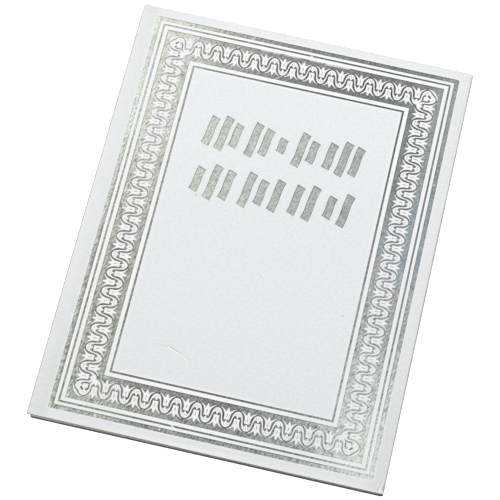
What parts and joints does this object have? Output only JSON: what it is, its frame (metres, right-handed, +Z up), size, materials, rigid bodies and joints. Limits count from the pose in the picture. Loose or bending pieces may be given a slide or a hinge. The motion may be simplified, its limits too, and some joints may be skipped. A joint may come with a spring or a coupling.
{
  "type": "booklet",
  "caption": "Thin booklet in a folded card cover, fold on the right, with a sunk foil frame of ribbon and palmette ornament; both covers open on their folds.",
  "frame": {"origin": "on the surface that the booklet lies on, under the middle of the closed cover", "axes": "+Z up out of the front cover, +Y towards the head of the cover, +X towards the fold"},
  "size_m": [0.12, 0.16, 0.0034],
  "materials": {
    "front_card": "matt white grained card with silver foil stamped in the sunk lines, ground and strokes",
    "spine_card": "matt white grained card",
    "back_card": "matt white grained card",
    "pages": "uncoated paper, cut edges"
  },
  "bodies": {
    "bound_block": {"page_block": "pages", "spine": "spine_card"},
    "front_cover_panel": {"front_cover": "front_card"},
    "back_cover_panel": {"back_cover": "back_card"}
  },
  "joints": [
    {"name": "front_fold", "type": "hinge", "parent": "bound_block", "child": "front_cover_panel", "pos_m": [0.05865, 0, 0.00285], "axis": [0, 1, 0], "range_deg": [0, 180]},
    {"name": "back_fold", "type": "hinge", "parent": "bound_block", "child": "back_cover_panel", "pos_m": [0.05865, 0, -0.00015], "axis": [0, -1, 0], "range_deg": [0, 180]}
  ]
}
